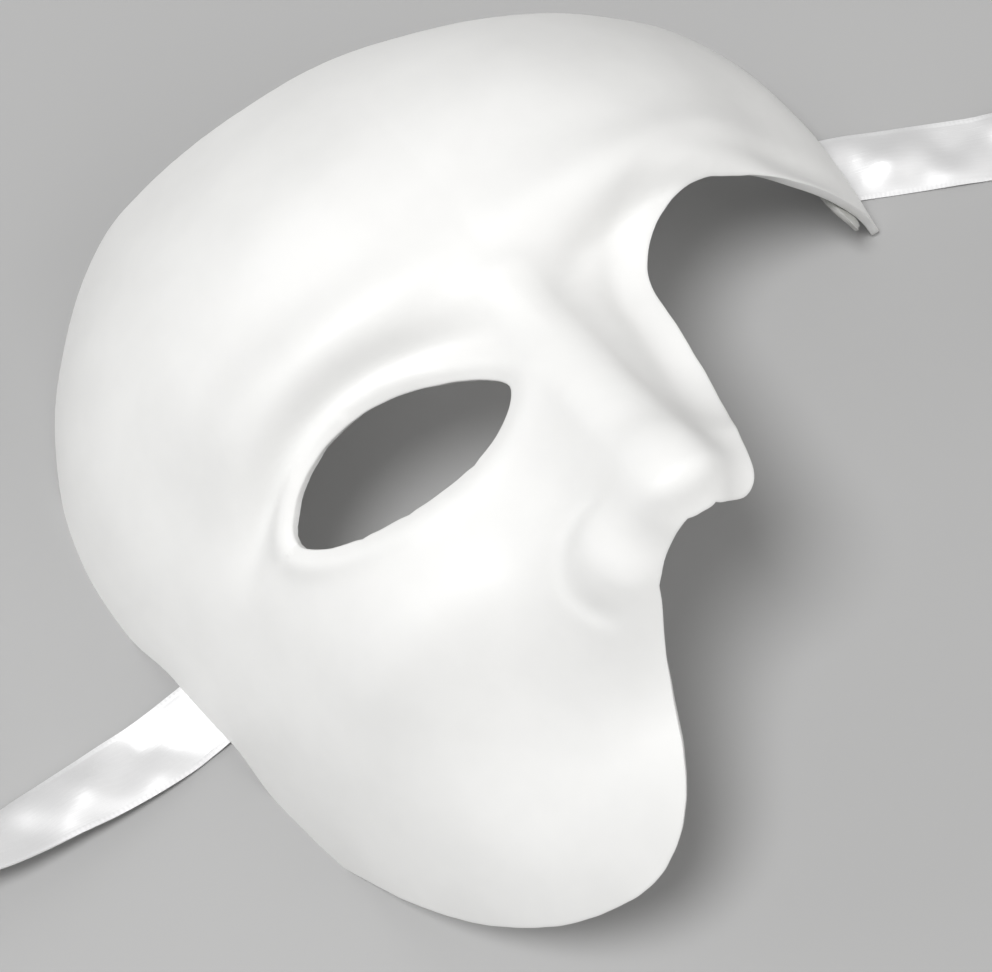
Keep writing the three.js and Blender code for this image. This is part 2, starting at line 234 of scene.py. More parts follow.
# Light from all round, then in metres the height that the camera and the lights aim at, and the floor's side
SKY = {"Color": (1, 0.995, 0.985, 1), "Strength": 0.3}
BROW_HEIGHT = 0.04
FLOOR_SIZE = 8


class MaskSizes(bpy.types.PropertyGroup):
    """Sizes of the moulded sheet that a user would change."""

    wall: bpy.props.FloatProperty(
        name="Wall", description="Thickness of the moulded sheet", default=0.0018, min=0.0005, unit="LENGTH"
    )
    cell: bpy.props.FloatProperty(
        name="Cell", description="Size of the mesh cells on the sheet", default=0.00088, min=0.0006,
        unit="LENGTH",
    )
    edge_round: bpy.props.FloatProperty(
        name="Edge Rounding", description="How far the cut edge is eased", default=0.00028, min=0,
        unit="LENGTH",
    )
    lip_height: bpy.props.FloatProperty(
        name="Lip Height", description="How far the arch's edge turns up", default=0.001, unit="LENGTH"
    )
    lip_dip: bpy.props.FloatProperty(
        name="Lip Dip", description="Depth of the groove behind the lip", default=0.0009, unit="LENGTH"
    )
    wobble: bpy.props.FloatProperty(
        name="Trim Wobble", description="Unevenness of the hand-cut edge", default=0.00006, unit="LENGTH"
    )
    waviness: bpy.props.FloatProperty(
        name="Sheet Waviness", description="Slow unevenness of the moulded sheet", default=0.00022,
        unit="LENGTH",
    )


class RibbonSizes(bpy.types.PropertyGroup):
    """Sizes of the two satin ribbons."""

    width: bpy.props.FloatProperty(
        name="Width", description="Width of the ribbon", default=0.015, unit="LENGTH"
    )
    thick: bpy.props.FloatProperty(
        name="Thickness", description="Thickness of the satin", default=0.00035, unit="LENGTH"
    )
    length: bpy.props.FloatProperty(
        name="Length", description="Length of each ribbon, the coil included", default=0.4, unit="LENGTH"
    )
    ripple: bpy.props.FloatProperty(
        name="Ripple", description="Height of the soft creases in the satin", default=0.001, unit="LENGTH"
    )


class MaskFinish(bpy.types.PropertyGroup):
    """Colours of the plastic, the satin and the glue."""

    plastic: bpy.props.FloatVectorProperty(
        name="Plastic", description="Colour of the moulded sheet", subtype="COLOR", size=3,
        default=(0.83, 0.83, 0.82), min=0, max=1,
    )
    satin: bpy.props.FloatVectorProperty(
        name="Satin", description="Colour of the ribbons", subtype="COLOR", size=3,
        default=(0.84, 0.84, 0.845), min=0, max=1,
    )
    glue: bpy.props.FloatVectorProperty(
        name="Glue", description="Colour of the hot-melt glue", subtype="COLOR", size=3,
        default=(0.78, 0.78, 0.75), min=0, max=1,
    )


class MaskStage(bpy.types.PropertyGroup):
    """Camera, lights and floor."""

    azimuth: bpy.props.FloatProperty(
        name="Azimuth", description="Side that the camera looks from", default=math.radians(-34),
        subtype="ANGLE",
    )
    elevation: bpy.props.FloatProperty(
        name="Elevation", description="Camera's height above the horizon", default=math.radians(68),
        subtype="ANGLE",
    )
    distance: bpy.props.FloatProperty(
        name="Distance", description="Camera's distance from the brow", default=0.465, unit="LENGTH"
    )
    pan: bpy.props.FloatProperty(
        name="Pan", description="How far the camera is turned left of the brow", default=math.radians(1.314),
        subtype="ANGLE",
    )
    tilt: bpy.props.FloatProperty(
        name="Tilt", description="How far the camera is turned below the brow", default=math.radians(1.89),
        subtype="ANGLE",
    )
    lens: bpy.props.FloatProperty(name="Lens", description="Focal length", default=91.47, unit="CAMERA")
    floor: bpy.props.FloatVectorProperty(
        name="Floor", description="Colour of the floor", subtype="COLOR", size=3, default=(0.43, 0.43, 0.43),
        min=0, max=1,
    )
    light: bpy.props.FloatProperty(
        name="Light", description="Power of the main soft light", default=7, unit="POWER"
    )


class Wire:
    """A socket of a shader tree, with the sums and products of shader maths as Python's own operators."""

    def __init__(self, tree, socket=None):
        self.tree = tree
        self.socket = socket

    def node(self, kind, settings=None, sockets=None, output=0):
        """Adds a node: its settings first, then the values or links of its sockets."""
        made = self.tree.nodes.new(kind)
        settings = dict(settings or {})
        stops = settings.pop("stops", None)
        for key, value in settings.items():
            setattr(made, key, value)
        if stops:
            while len(made.color_ramp.elements) < len(stops):
                made.color_ramp.elements.new(1)
            for element, (position, grey) in zip(made.color_ramp.elements, stops):
                element.position = position
                element.color = (grey, grey, grey, 1)
        for key, value in (sockets or {}).items():
            if isinstance(value, Wire):
                self.tree.links.new(value.socket, made.inputs[key])
            else:
                made.inputs[key].default_value = value
        return Wire(self.tree, made.outputs[output] if made.outputs else None)

    def noise(self, vector, scale, detail, roughness=0.5):
        """Value of a noise texture."""
        sockets = {"Vector": vector, "Scale": scale, "Detail": detail, "Roughness": roughness}
        return self.node("ShaderNodeTexNoise", None, sockets)

    def mix(self, factor, first, second):
        """A colour between two."""
        sockets = {"Factor": factor, "A": first, "B": second}
        return self.node("ShaderNodeMix", {"data_type": "RGBA"}, sockets, 2)

    def stretched(self, vector, scale):
        """A vector scaled by a different amount each way."""
        return self.node("ShaderNodeMapping", {"vector_type": "POINT"}, {"Vector": vector, "Scale": scale})

    def surface(self, sockets):
        """Ends the tree with a shader and the material's output."""
        shader = self.node("ShaderNodeBsdfPrincipled", None, sockets)
        self.node("ShaderNodeOutputMaterial", None, {"Surface": shader})

    def math(self, operation, first, second=0.0):
        """One step of arithmetic on two values."""
        return self.node("ShaderNodeMath", {"operation": operation}, {0: first, 1: second})

    def __add__(self, other):
        return self.math("ADD", self, other)

    def __radd__(self, other):
        return self.math("ADD", other, self)

    def __mul__(self, other):
        return self.math("MULTIPLY", self, other)

    def __rmul__(self, other):
        return self.math("MULTIPLY", other, self)


def new_material(name):
    """An empty material and the wire that its nodes grow from."""
    material = bpy.data.materials.new(name)
    material.use_nodes = True
    material.node_tree.nodes.clear()
    return material, Wire(material.node_tree)


def toned(colour, share=1):
    """A colour for a socket, as it is or darkened to a share of itself."""
    return tuple(share * c for c in colour) + (1,)


def plastic_material(finish):
    """Matt white sheet: faint mottling, the mould's fine grain, and a rougher cut edge, made greyer with
    painted shade.
    """
    material, wire = new_material("moulded_plastic")
    place = wire.node("ShaderNodeTexCoord", output="Object")
    cut = wire.node("ShaderNodeAttribute", {"attribute_name": "cut"}, output="Fac")
    mottle = wire.noise(place, scale=55, detail=3, roughness=0.55)
    grain = wire.noise(place, scale=1500, detail=2, roughness=0.6)
    peel = wire.noise(place, scale=330, detail=2)
    saw = wire.noise(place, scale=900, detail=3, roughness=0.7)
    white = toned(finish.plastic)
    dull = toned(finish.plastic, 0.955)
    # Painted shade: a greyer copy of the plastic's colour for the cut edge, which is also rougher and
    # saw-marked
    painted_shade_edge = toned(finish.plastic, 0.9)
    blotch = wire.node("ShaderNodeValToRGB", {"stops": ((0.35, 0), (0.7, 1))}, {"Fac": mottle})
    colour = wire.mix(cut, wire.mix(blotch, white, dull), painted_shade_edge)
    roughness = 0.5 + 0.07 * mottle + 0.2 * cut
    height = 0.4 * grain + 0.6 * peel + 2.2 * cut * saw
    bump = wire.node("ShaderNodeBump", None, {"Strength": 0.18, "Distance": 0.00006, "Height": height})
    wire.surface({"Base Color": colour, "Roughness": roughness, "Normal": bump})
    return material


def satin_material(finish, sizes):
    """White satin: fine threads along the ribbon, a ribbed selvedge on each side, a soft sheen."""
    material, wire = new_material("satin_ribbon")
    cloth = wire.node("ShaderNodeUVMap", {"uv_map": "weave"})
    across = wire.node("ShaderNodeSeparateXYZ", None, {"Vector": cloth}, "Y")
    threads = wire.noise(wire.stretched(cloth, (120, 5200, 1)), scale=1, detail=2)
    floats = wire.noise(wire.stretched(cloth, (260, 1500, 1)), scale=1, detail=3)
    ribs = wire.node(
        "ShaderNodeTexWave", {"bands_direction": "X", "wave_profile": "SIN"},
        {"Vector": wire.stretched(cloth, (1, 0.001, 1)), "Scale": SELVEDGE["ribs"]},
    )
    half = sizes.width / 2
    off_middle = wire.math("ABSOLUTE", across)
    selvedge = wire.node(
        "ShaderNodeMapRange", None,
        {"Value": off_middle, "From Min": half - SELVEDGE["start"], "From Max": half - SELVEDGE["full"]},
    )
    colour = wire.mix(0.6 * floats, toned(finish.satin), toned(finish.satin, 0.9))
    height = 0.5 * threads + 0.5 * floats + selvedge * (0.6 + 0.5 * ribs)
    bump = wire.node("ShaderNodeBump", None, {"Strength": 0.5, "Distance": 0.0001, "Height": height})
    roughness = 0.41 + 0.1 * floats + 0.15 * selvedge
    wire.surface({"Base Color": colour, "Roughness": roughness, "Normal": bump, "Metallic": 0.36})
    return material


def glue_material(finish):
    """Milky hot-melt glue: half gloss, with small bubbles and pulled ridges."""
    material, wire = new_material("hot_melt_glue")
    place = wire.node("ShaderNodeTexCoord", output="Object")
    clouds = wire.noise(place, scale=260, detail=3)
    bubbles = wire.node("ShaderNodeTexVoronoi", None, {"Vector": place, "Scale": 620})
    colour = wire.mix(clouds, toned(finish.glue), toned(finish.glue, 0.84))
    height = 0.6 * clouds + 0.3 * bubbles
    bump = wire.node("ShaderNodeBump", None, {"Strength": 0.4, "Distance": 0.0003, "Height": height})
    roughness = 0.2 + 0.12 * clouds
    wire.surface({"Base Color": colour, "Roughness": roughness, "Normal": bump, "Transmission Weight": 0.4})
    return material


def floor_material(stage):
    """Plain matt paper."""
    material, wire = new_material("floor_paper")
    wire.surface({"Base Color": toned(stage.floor), "Roughness": 0.85})
    return material


def cubic(low, high, low_slope, high_slope, span, t):
    """Value at a share t of a span, from the values and the slopes at its two ends."""
    return (
        low * (1 - 3 * t**2 + 2 * t**3) + low_slope * span * t * (1 - t) ** 2
        + high * (3 * t**2 - 2 * t**3) + high_slope * span * t * t * (t - 1)
    )


def section(key, y):
    """A smooth value between the head's sections."""
    heights = np.array(SECTIONS["y"], float)
    values = np.array(SECTIONS[key], float)
    last = len(heights) - 1
    i = np.clip(np.searchsorted(heights, y, side="left") - 1, 0, last - 1)
    low = np.clip(i - 1, 0, last)
    high = np.clip(i + 2, 0, last)
    start = (values[i + 1] - values[low]) / (heights[i + 1] - heights[low])
    end = (values[high] - values[i]) / (heights[high] - heights[i])
    span = heights[i + 1] - heights[i]
    return cubic(values[i], values[i + 1], start, end, span, (y - heights[i]) / span)


def blend(a, b, radius):
    """The higher of two surfaces, the valley between them rounded and filled by a quarter of the radius."""
    near = np.maximum(radius - np.abs(a - b), 0) / radius
    return np.maximum(a, b) + near * near * radius / 4


def rounded_cone(distance, rounding, slope):
    """How far a cone with a rounded top has dropped at a distance from its axis."""
    angle = np.arctan(slope)
    shoulder = rounding * np.sin(angle)
    ball = np.sqrt(np.maximum(rounding**2 - distance**2, 0)) - rounding
    side = rounding * np.cos(angle) - rounding - slope * (distance - shoulder)
    return np.where(distance < shoulder, ball, side)


def knob(form, x, y):
    """Height of a rounded knob on the nose, the same on both sides of the middle line."""
    aside = np.hypot(np.abs(x) - form["x"], (y - form["y"]) * form["shorten"])
    return form["top"] + rounded_cone(aside, form["round"], form["slope"])


def nose_height(x, y):
    """Height of the nose: the ridge, the ball at its tip and the wings."""
    along = np.clip((NOSE_ROOT["y"] - y) / (NOSE_ROOT["y"] - NOSE_TIP["y"]), 0, 1)
    rounding = NOSE_ROOT["round"] + (NOSE_TIP["round"] - NOSE_ROOT["round"]) * along
    slope = NOSE_ROOT["slope"] + (NOSE_TIP["slope"] - NOSE_ROOT["slope"]) * along
    top = NOSE_ROOT["top"] + (NOSE_TIP["top"] - NOSE_ROOT["top"]) * along**DORSUM_BEND
    below = np.maximum(NOSE_TIP["y"] - y, 0) * TIP_SHORTEN
    above = np.maximum(y - NOSE_ROOT["y"], 0) * ROOT_SHORTEN
    ridge = top + rounded_cone(np.hypot(x, below + above), rounding, slope)
    tip = blend(ridge, knob(NOSE_BALL, x, y), BLEND_WING)
    return blend(tip, knob(NOSE_WING, x, y), BLEND_WING)


def smooth_step(t):
    """From 0 to 1 as t goes from 0 to 1, level at both ends."""
    t = np.clip(t, 0, 1)
    return t * t * (3 - 2 * t)


def lid_crease(x, y):
    """Soft crease over the eye with a finer fold in its middle, none below the eye."""
    across = (np.abs(x) - LID["x"]) / LID["wide"]
    up = (y - LID["y"]) / LID["tall"]
    off = (np.hypot(across, up) - 1) / LID["soft"]
    fold = LID["fold"] * np.exp(-((off / LID["fold_soft"]) ** 2))
    return smooth_step(up / LID["set_in"]) * (LID["depth"] * np.exp(-off * off) + fold)


def wing_crease(x, y):
    """Fine crease round the wing of the nose on the masked side, towards the cheek and above it."""
    across = (-x - WING_CREASE["x"]) / WING_CREASE["wide"]
    up = (y - WING_CREASE["y"]) / WING_CREASE["tall"]
    off = (np.hypot(across, up) - 1) / WING_CREASE["soft"]
    fade = smooth_step((across + WING_CREASE["lean"] * up) / WING_CREASE["set_in"])
    return WING_CREASE["depth"] * fade * np.exp(-off * off)


def slow_waves(s, y):
    """Unevenness that a sheet keeps from the mould: two crossing sets of long waves, between -1 and 1."""
    long = np.sin(s * 0.071 + 1.3 * np.sin(y * 0.043 + 0.4)) * np.cos(y * 0.083 + 0.9)
    short = np.sin(s * 0.19 - y * 0.11 + 2.1) * np.sin(y * 0.23 + s * 0.05)
    return 0.7 * long + 0.3 * short


def distance_to(points, line):
    """Distance of each flat point to an open polyline, in the same unit."""
    nearest = np.full(len(points), np.inf)
    for start, end in zip(line[:-1], line[1:]):
        along = end - start
        t = np.clip(((points - start) @ along) / (along @ along), 0, 1)
        off = points - start - t[:, None] * along
        nearest = np.minimum(nearest, np.hypot(off[:, 0], off[:, 1]))
    return nearest


def inside(points, loop):
    """Which flat points lie inside a closed loop."""
    x, y = points[:, 0], points[:, 1]
    result = np.zeros(len(points), bool)
    for (x0, y0), (x1, y1) in zip(loop, np.roll(loop, -1, axis=0)):
        if y0 == y1:
            continue
        crosses = (y0 > y) != (y1 > y)
        result ^= crosses & (x < (x1 - x0) * (y - y0) / (y1 - y0) + x0)
    return result


def rounded_loop(corners):
    """Closed line from corners that each carry their own radius."""
    points = []
    for i, (s, y, radius) in enumerate(corners):
        here = np.array([s, y], float)
        back = np.array(corners[i - 1][:2], float) - here
        on = np.array(corners[(i + 1) % len(corners)][:2], float) - here
        back /= np.hypot(*back)
        on /= np.hypot(*on)
        half = math.acos(np.clip(back @ on, -1, 1)) / 2
        between = (back + on) / np.hypot(*(back + on))
        middle = here + between * radius / math.sin(half)
        reach = radius / math.tan(half)
        first = here + back * reach - middle
        final = here + on * reach - middle
        sweep = math.atan2(first[0] * final[1] - first[1] * final[0], first @ final)
        start = math.atan2(first[1], first[0])
        for angle in np.linspace(start, start + sweep, CORNER_POINTS):
            points.append(middle + radius * np.array([math.cos(angle), math.sin(angle)]))
    return np.array(points)


def travelled(steps):
    """Length so far at each point of a line, from the lengths of the steps between them."""
    return np.concatenate([[0], np.cumsum(steps)])


def closed(loop):
    """The loop with its first point again at its end."""
    return np.vstack([loop, loop[:1]])


def evenly(loop, step):
    """The closed loop again, with its points the same step apart."""
    line = closed(loop)
    run = travelled(np.hypot(*np.diff(line, axis=0).T))
    count = int(round(run[-1] / step))
    at = np.arange(count) * run[-1] / count
    return np.column_stack([np.interp(at, run, line[:, k]) for k in (0, 1)])


def eye_loop():
    """Almond outline with two pointed corners, its points the same step apart."""
    arcs = []
    for rise, start in ((EYE["upper"], 0), (EYE["lower"], math.pi)):
        angle = np.linspace(start, start + math.pi, EYE["points"])
        along = EYE["half"] * np.cos(angle)
        up = rise * np.sin(angle) * np.abs(np.sin(angle)) ** EYE["point"]
        arc = np.column_stack([EYE["s"] + along, EYE["y"] + up - along * EYE["tilt"]])
        run = travelled(np.hypot(*np.diff(arc, axis=0).T))
        at = np.linspace(0, run[-1], int(run[-1] / EYE["step"]), endpoint=False)
        arcs.append(np.column_stack([np.interp(at, run, arc[:, k]) for k in (0, 1)]))
    return np.vstack(arcs)


def cut_by_hand(loop, wobble):
    """Moves a cut line a little in and out, with a nick where the knife slipped."""
    along = np.roll(loop, -1, axis=0) - np.roll(loop, 1, axis=0)
    along /= np.hypot(along[:, 0], along[:, 1])[:, None]
    aside = np.column_stack([along[:, 1], -along[:, 0]])
    length = np.hypot(*(np.roll(loop, -1, axis=0) - loop).T).sum()
    turn = np.arange(len(loop)) * 2 * math.pi / len(loop)
    move = np.zeros(len(loop))
    for wave, share, start in CUT_WAVES:
        move += wobble * share * np.sin(round(length / wave) * turn + start)
    for s, y, deep, wide in NICKS:
        off = np.hypot(loop[:, 0] - s, loop[:, 1] - y)
        if off.min() < NICK_OFF:
            off = np.hypot(*(loop - loop[np.argmin(off)]).T)
            move += deep * np.exp(-((off / wide) ** 2))
    return loop + aside * move[:, None]


def lip_line(outline):
    """The stretch of the trimmed edge that turns up: the arch and the side of the nose."""
    s, y = outline[:, 0], outline[:, 1]
    on = (s > LIP["left"]) & (s < LIP["right"]) & (y < LIP["top"]) & (y > LIP["low"])
    start = int(np.argmax(on & ~np.roll(on, 1)))
    rolled = np.roll(outline, -start, axis=0)
    return rolled[: int(on.sum())]


def edge_relief(s, y, edges, sizes):
    """The lip along the arch, the rolled band round the eye hole and the fold beyond its corner.

    Every second point of a cut line is enough for the distance to it.
    """
    line, hole = edges
    points = np.column_stack([s, y])
    off = distance_to(points, line[::2])
    lip = sizes.lip_height / MM * np.exp(-((off / LIP["wide"]) ** 2))
    lip -= sizes.lip_dip / MM * np.exp(-(((off - LIP["groove"]) / LIP["groove_wide"]) ** 2))
    lip *= smooth_step((y - LIP["low"]) / LIP["fade"]) * smooth_step((LIP["right"] - s) / LIP["fade"])
    off = distance_to(points, closed(hole)[::2])
    band = BAND["rise"] * np.exp(-(((off - BAND["off"]) / BAND["reach"]) ** 2))
    band -= BAND["drop"] * np.exp(-((off / BAND["turn"]) ** 2))
    off = distance_to(points, np.array([FOLD["from"], FOLD["to"]], float))
    fade = smooth_step((s - FOLD["to"][0] + FOLD["start"]) / FOLD["fade"])
    return lip + band - FOLD["deep"] * np.exp(-((off / FOLD["wide"]) ** 2)) * fade


def face_point(s, y, edges, sizes):
    """Points of the outer face for places on the flat sheet."""
    turn = s / HEAD_RADIUS
    half = section("half", y)
    depth = section("front", y) - HEAD_AXIS
    forward = np.sign(np.cos(turn)) * np.abs(np.cos(turn)) ** FRONT_SQUARENESS
    flat = half * np.sin(turn)
    rise = sizes.waviness / MM * slow_waves(s, y) - lid_crease(flat, y)
    for x0, y0, wide, tall, height in FORMS.values():
        rise = rise + height * np.exp(-(((np.abs(flat) - x0) / wide) ** 2) - ((y - y0) / tall) ** 2)
    lead = NOSE_ROOT["y"] + BLEND_LEAD
    along = np.clip((lead - y) / (lead - NOSE_TIP["y"]), 0, 1)
    z = HEAD_AXIS + depth * forward + rise * np.cos(turn)
    z = blend(z, nose_height(flat, y), BLEND_ROOT + (BLEND_TIP - BLEND_ROOT) * along) - wing_crease(flat, y)
    relief = edge_relief(s, y, edges, sizes) if edges else 0
    x = flat + (rise + relief) * np.sin(turn)
    return np.column_stack([x, y, z + relief * np.cos(turn)])


def sheet_point(s, y, depth, edges, sizes):
    """Points at a depth inside the sheet, square to the outer face, in millimetres."""
    near = 0.2
    across = face_point(s + near, y, edges, sizes) - face_point(s - near, y, edges, sizes)
    up = face_point(s, y + near, edges, sizes) - face_point(s, y - near, edges, sizes)
    normal = np.cross(across, up)
    normal /= np.linalg.norm(normal, axis=1)[:, None]
    return face_point(s, y, edges, sizes) + normal * depth[:, None]


def mesh_points(mesh):
    """Places of a mesh's corners, a row each."""
    flat = np.empty(len(mesh.vertices) * 3)
    mesh.vertices.foreach_get("co", flat)
    return flat.reshape(-1, 3)


def set_mesh_points(mesh, points):
    """Moves a mesh's corners to these places."""
    mesh.vertices.foreach_set("co", np.asarray(points, float).ravel())
    mesh.update()


def only(piece):
    """Selects one object and makes it active."""
    bpy.ops.object.select_all(action="DESELECT")
    piece.select_set(True)
    bpy.context.view_layer.objects.active = piece


def apply_modifier(piece, kind, **settings):
    """Adds a modifier with these settings and applies it."""
    only(piece)
    modifier = piece.modifiers.new(kind.title(), kind)
    for key, value in settings.items():
        setattr(modifier, key, value)
    bpy.ops.object.modifier_apply(modifier=modifier.name)


def delete_vertices(piece, unwanted):
    """Deletes the corners that a mask of them marks."""
    only(piece)
    bpy.ops.object.mode_set(mode="EDIT")
    bpy.ops.mesh.select_mode(type="VERT")
    bpy.ops.mesh.select_all(action="DESELECT")
    bpy.ops.object.mode_set(mode="OBJECT")
    piece.data.vertices.foreach_set("select", unwanted)
    bpy.ops.object.mode_set(mode="EDIT")
    bpy.ops.mesh.delete(type="VERT")
    bpy.ops.object.mode_set(mode="OBJECT")


def finish_piece(piece, name, material, replaced):
    """Names a piece, gives it its material, and has it ride and stand for its solids."""
    piece.name = name
    piece.data.name = name
    piece.data.materials.clear()
    piece.data.materials.append(material)
    only(piece)
    bpy.ops.object.shade_smooth_by_angle(angle=SMOOTH)
    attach(piece, "root")
    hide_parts(*replaced)


def distance_to_cut(points, outline, hole):
    """Distance of each flat point to the sheet's cut edge, round the outside or round the eye hole."""
    return np.minimum(distance_to(points, closed(outline)), distance_to(points, closed(hole)))


def rows_along_cut(loops):
    """Narrow strips of faces along the cut edge, whose corners are its rows of points."""
    curve = bpy.data.curves.new("blank", "CURVE")
    curve.dimensions = "2D"
    curve.fill_mode = "BOTH"
    for loop in loops:
        spline = curve.splines.new("POLY")
        spline.points.add(len(loop) - 1)
        for point, (s, y) in zip(spline.points, loop):
            point.co = (s * MM, y * MM, 0, 1)
        spline.use_cyclic_u = True
    blank = bpy.data.objects.new("blank", curve)
    bpy.context.scene.collection.objects.link(blank)
    only(blank)
    bpy.ops.object.convert(target="MESH")
    bpy.ops.object.mode_set(mode="EDIT")
    bpy.ops.mesh.select_mode(type="FACE")
    bpy.ops.mesh.select_all(action="SELECT")
    for row in EDGE_ROWS:
        bpy.ops.mesh.inset(thickness=row * MM, use_boundary=True, use_even_offset=True)
    bpy.ops.mesh.delete(type="FACE")
    bpy.ops.object.mode_set(mode="OBJECT")
    return blank


def grid_inside_cut(outline, hole, cell):
    """An even grid over the sheet, clear of the rows along the cut edge."""
    low, high = outline.min(0), outline.max(0)
    counts = np.ceil((high - low) / cell).astype(int)
    middle = (low + high) / 2 * MM
    bpy.ops.mesh.primitive_grid_add(
        x_subdivisions=int(counts[0]), y_subdivisions=int(counts[1]), size=1, location=(*middle, 0)
    )
    grid = bpy.context.object
    grid.scale = (*((high - low) * MM), 1)
    bpy.ops.object.transform_apply(location=True, rotation=False, scale=True)
    flat = mesh_points(grid.data)[:, :2] / MM
    off = distance_to_cut(flat, outline, hole)
    keep = inside(flat, outline) & ~inside(flat, hole) & (off > sum(EDGE_ROWS) + GRID_GAP * cell)
    delete_vertices(grid, ~keep)
    return grid


def cut_blank(outline, hole, cell):
    """The flat sheet cut to its outline: rows of points along the cut edge, an even grid inside."""
    blank = rows_along_cut((outline, hole))
    grid = grid_inside_cut(outline, hole, cell)
    only(blank)
    grid.select_set(True)
    bpy.ops.object.join()
    points = mesh_points(blank.data)[:, :2] / MM
    on_edge = distance_to_cut(points, outline, hole) < ON_LINE
    edges = [tuple(edge.vertices) for edge in blank.data.edges]
    edges = [(start, end) for start, end in edges if on_edge[start] and on_edge[end]]
    triangles_inside = 1
    merged_within = 1e-6
    flat, _, faces, _, _, _ = delaunay_2d_cdt(
        [Vector(point) for point in points], edges, [], triangles_inside, merged_within
    )
    flat = np.array([p[:] for p in flat])
    corners = np.array(faces)
    corners = corners[~inside(flat[corners].mean(1), hole)]
    mesh = bpy.data.meshes.new("blank")
    mesh.from_pydata([(s * MM, y * MM, 0) for s, y in flat], [], corners.tolist())
    blank.data = mesh
    return blank


def lift_over_ribbon(points):
    """Raises the foot of the right wall where the ribbon passes under it."""
    x, y, z = points.T
    off = np.abs(y - RELIEF["y"]) - RELIEF["flat"] / 2
    lift = RELIEF["height"] * (1 - smooth_step(off / RELIEF["run"]))
    lift = np.where((x < RELIEF["inner"]) & (z < RELIEF["blend"]), lift * (1 - z / RELIEF["blend"]), 0)
    return np.column_stack([x + RELIEF["lean"] * lift, y, z + lift])


def route_frames(route, coil, total):
    """Even places along a ribbon: length so far, middle, direction, and the direction across it."""
    points = np.array(route, float)
    ring = np.array(coil, float)
    last = math.atan2(points[-1][1] - ring[1], points[-1][0] - ring[0])
    before = math.atan2(points[-2][1] - ring[1], points[-2][0] - ring[0])
    # The coil starts half a step beyond the route's last point
    start = last + 0.5 * (last - before)
    turns = []
    for k in range(1, int(COIL["turns"] * 360 / COIL["step"]) + 1):
        swept = math.radians(COIL["step"]) * k
        radius = COIL["start"] - COIL["pitch"] * swept / (2 * math.pi)
        x = ring[0] + radius * math.cos(start - swept)
        y = ring[1] + radius * math.sin(start - swept)
        turns.append((x, y, COIL["height"], 90))
    knots = np.vstack([points, turns])
    at = travelled(np.linalg.norm(np.diff(knots[:, :3], axis=0), axis=1))
    slopes = np.gradient(knots, at, axis=0)
    fine = np.arange(0, at[-1], ROUTE_STEP)
    i = np.clip(np.searchsorted(at, fine, side="right") - 1, 0, len(at) - 2)
    span = (at[i + 1] - at[i])[:, None]
    line = cubic(knots[i], knots[i + 1], slopes[i], slopes[i + 1], span, (fine - at[i])[:, None] / span)
    run = travelled(np.linalg.norm(np.diff(line[:, :3], axis=0), axis=1))
    if run[-1] < total:
        raise RuntimeError(f"the route is {run[-1]:.0f} mm long, and the ribbon needs {total:.0f} mm")
    even = np.linspace(0, total, int(total / CLOTH_STEP) + 1)
    middle = np.column_stack([np.interp(even, run, line[:, k]) for k in range(3)])
    turn = np.radians(np.interp(even, run, line[:, 3]))
    along = np.gradient(middle, even, axis=0)
    along /= np.linalg.norm(along, axis=1)[:, None]
    level = np.column_stack([-along[:, 1], along[:, 0], np.zeros(len(along))])
    level /= np.linalg.norm(level, axis=1)[:, None]
    rise = np.cross(along, level)
    across = level * np.cos(turn)[:, None] + rise * np.sin(turn)[:, None]
    return even, middle, along, across


def ribbon(name, nodes, route, coil, side, settings, material):
    """A satin ribbon: a long grid laid along its route, with soft creases, then given its thickness."""
    width = settings.width / MM
    total = settings.length / MM
    even, middle, along, across = route_frames(route, coil, total)
    bpy.ops.object.select_all(action="DESELECT")
    bpy.ops.mesh.primitive_grid_add(x_subdivisions=len(even) - 1, y_subdivisions=STRANDS, size=1)
    piece = bpy.context.object
    flat = mesh_points(piece.data)
    step = np.rint((flat[:, 0] + 0.5) * (len(even) - 1)).astype(int)
    v = flat[:, 1]
    length = even[step]
    free = smooth_step((length - LOOSE["from"]) / LOOSE["over"])
    free *= smooth_step((total - length) / LOOSE["end"])
    free *= 1 - LOOSE["calm"] * smooth_step((length - LOOSE["coil"]) / LOOSE["coil_over"])
    creases = sum(
        height * np.sin(length * wave + turned * v + by_side * side + start)
        for height, wave, turned, by_side, start in CREASES
    )
    cup = CUP["deep"] * (v * v - CUP["level"]) * np.sin(length * CUP["wave"] + side)
    lifted = settings.ripple / MM * (CREASE_LIFT + creases) * (1 - CREASE_EDGE * v * v) + cup
    slanted = np.maximum(length - total + SLANT["long"], 0) / SLANT["long"]
    cut = v * SLANT["skew"] * slanted
    out = np.cross(along, across)
    place = (
        middle[step] + across[step] * (v * width)[:, None] + out[step] * (free * lifted)[:, None]
        + along[step] * cut[:, None]
    )
    place[:, 2] = np.maximum(place[:, 2], LOWEST)
    weave = piece.data.uv_layers[0]
    weave.name = "weave"
    corners = np.empty(len(piece.data.loops), int)
    piece.data.loops.foreach_get("vertex_index", corners)
    weave.data.foreach_set("uv", np.column_stack([length, v * width])[corners].ravel() * MM)
    set_mesh_points(piece.data, (place + PLACE) * MM)
    apply_modifier(piece, "SOLIDIFY", thickness=settings.thick, offset=0, use_even_offset=True)
    finish_piece(piece, name, material, nodes)
    return piece, (middle + PLACE) * MM


def lumps(points, scale):
    """Uneven lumps between about -1 and 1."""
    x, y, z = (points * scale).T
    large = np.sin(x + 1.7 * np.sin(y + 0.6))
    medium = np.sin(2.1 * y - z)
    small = np.sin(2.7 * x + 1.9 * z)
    return 0.5 * large + 0.35 * medium + 0.3 * small


